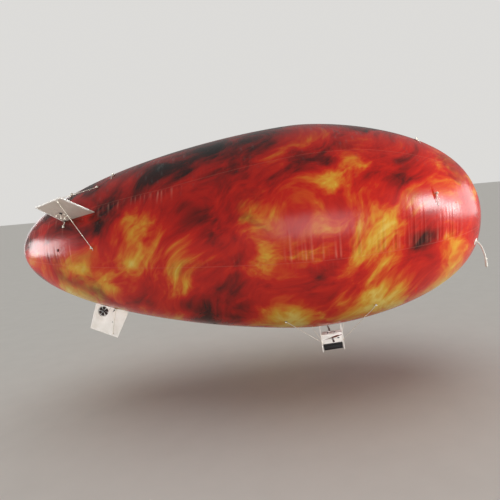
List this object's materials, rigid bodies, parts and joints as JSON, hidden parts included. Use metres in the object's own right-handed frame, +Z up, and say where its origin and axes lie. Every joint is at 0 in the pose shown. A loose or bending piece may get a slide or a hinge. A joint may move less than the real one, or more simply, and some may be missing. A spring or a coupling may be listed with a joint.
{
  "type": "radio controlled advertising blimp",
  "caption": "Small unmanned blimp with a printed film envelope, foam tail fins, a tail rotor and a hanging gondola with two tilting propellers.",
  "frame": {"origin": "on the envelope's long axis, half way between nose and tail, where the air holds it up", "axes": "+X to the nose, +Z up, +Y to the left side"},
  "size_m": [5.6066, 2.5, 2.8694],
  "materials": {
    "printed_film": "glossy thin film with a warm flame print, welded seams",
    "patch_film": "thin film patch, satin",
    "sleeve_film": "soft white tube, crumpled",
    "foam_board": "white foam board, satin face",
    "black_plastic": "black moulded plastic, satin",
    "rope": "thin braided cord",
    "motor_metal": "machined motor can",
    "carbon_tube": "carbon fibre tube",
    "brown_blade": "brown moulded propeller",
    "dark_blade": "dark maroon-brown moulded fan"
  },
  "bodies": {
    "airframe": {"envelope": "printed_film", "nose_patch": "patch_film", "tail_patch": "patch_film", "filler_sleeve": "sleeve_film", "filler_tie": "rope", "fin_right": "foam_board", "fin_pad_right": "patch_film", "fin_stay_right_a": "rope", "fin_stay_right_b": "rope", "fin_left": "foam_board", "fin_pad_left": "patch_film", "fin_stay_left_a": "rope", "fin_stay_left_b": "rope", "fin_lower": "foam_board", "fin_pad_lower": "patch_film", "fin_stay_lower_a": "rope", "fin_stay_lower_b": "rope", "tail_motor_mount": "foam_board", "tail_motor": "motor_metal", "gondola_plate_front": "foam_board", "gondola_plate_rear": "foam_board", "gondola_box": "foam_board", "gondola_lid": "foam_board", "battery_pod": "black_plastic", "gondola_pad_front": "patch_film", "gondola_pad_rear": "patch_film", "gondola_guy_front_right": "rope", "gondola_guy_front_left": "rope", "gondola_guy_rear_right": "rope", "gondola_guy_rear_left": "rope", "suspension_patch_front_side_right": "patch_film", "suspension_patch_front_side_left": "patch_film", "suspension_patch_front_top_right": "patch_film", "suspension_patch_front_top_left": "patch_film", "suspension_patch_rear_top_right": "patch_film", "suspension_patch_rear_top_left": "patch_film", "suspension_patch_tail_top_right": "patch_film", "suspension_patch_tail_top_left": "patch_film"},
    "thrust_unit": {"cross_shaft": "carbon_tube", "left_motor": "motor_metal", "right_motor": "motor_metal"},
    "left_propeller": {"left_propeller": "brown_blade"},
    "right_propeller": {"right_propeller": "brown_blade"},
    "tail_propeller": {"tail_propeller": "dark_blade"}
  },
  "joints": [
    {"name": "motor_tilt", "type": "hinge", "parent": "airframe", "child": "thrust_unit", "pos_m": [0.93709, 0, -1.43203], "axis": [0, 1, 0], "range_deg": [-10, 100]},
    {"name": "left_propeller_spin", "type": "hinge", "parent": "thrust_unit", "child": "left_propeller", "pos_m": [0.93709, 0.2, -1.43203], "axis": [-0.2419, 0, 0.9703], "continuous": true},
    {"name": "right_propeller_spin", "type": "hinge", "parent": "thrust_unit", "child": "right_propeller", "pos_m": [0.93709, -0.2, -1.43203], "axis": [-0.2419, 0, 0.9703], "continuous": true},
    {"name": "tail_propeller_spin", "type": "hinge", "parent": "airframe", "child": "tail_propeller", "pos_m": [-1.95483, 0, -0.85052], "axis": [0, 1, 0], "continuous": true}
  ]
}
